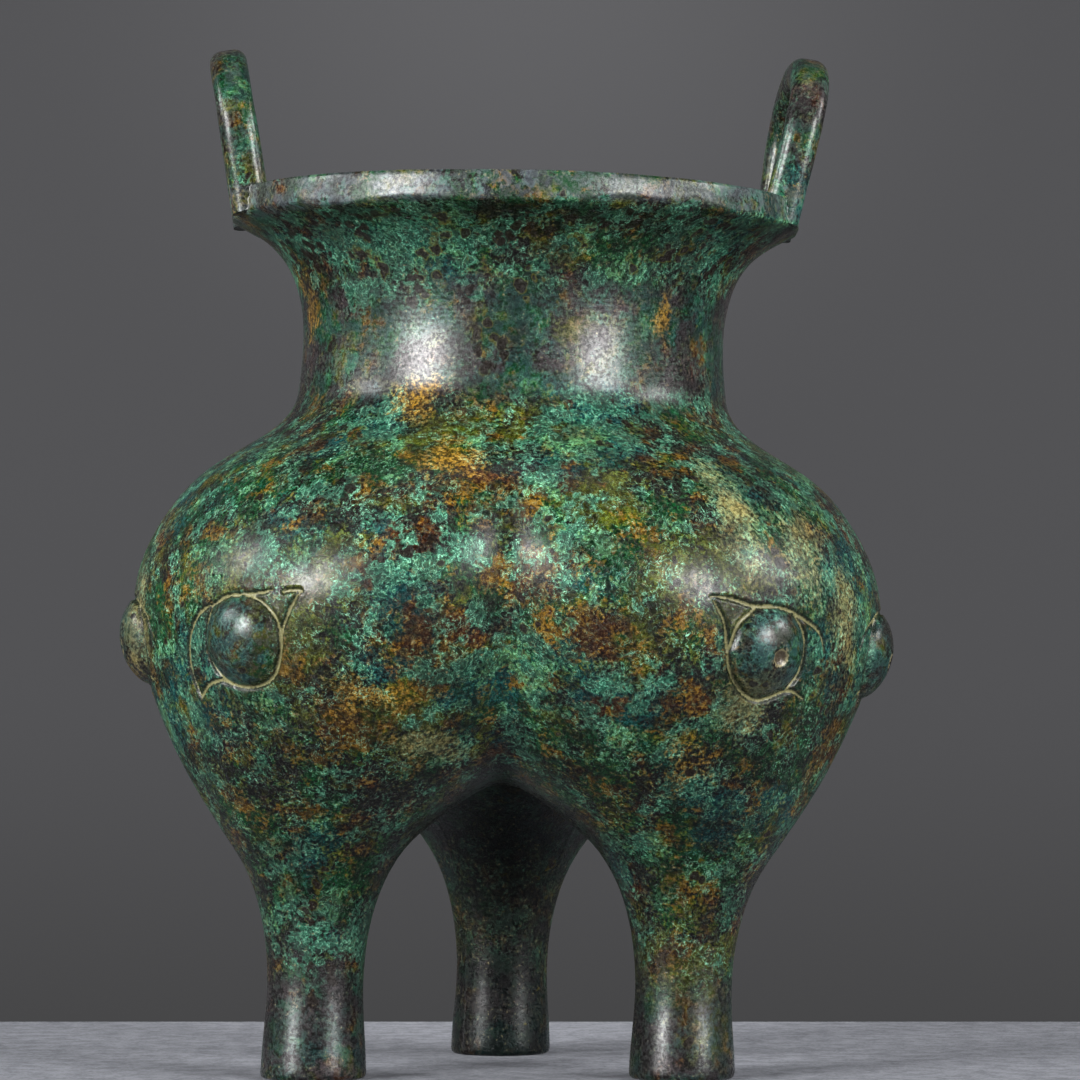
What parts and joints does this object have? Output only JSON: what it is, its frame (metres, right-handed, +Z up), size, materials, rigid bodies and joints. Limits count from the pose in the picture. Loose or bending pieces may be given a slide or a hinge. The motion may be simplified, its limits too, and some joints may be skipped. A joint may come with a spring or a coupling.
{
  "type": "bronze li tripod vessel",
  "caption": "Bronze li tripod vessel: a hollow body of pouches that run down into legs, with a round neck, flat rim, upright loop handles and raised eyes.",
  "frame": {"origin": "on the table under the middle of the vessel's box, between the three feet", "axes": "+Z up; +X to the right towards the right handle as pictured; -Y to the front, between the two front legs; the third leg is at +Y. The vessel's own axis leans 1.15 degrees towards +X"},
  "size_m": [0.1508, 0.1408, 0.2013],
  "materials": {
    "patinated_bronze": "cast bronze with a mottled green, teal, brown and ochre patina under a semi-gloss wax"
  },
  "bodies": {
    "root": {"tripod_vessel": "patinated_bronze"}
  },
  "joints": []
}
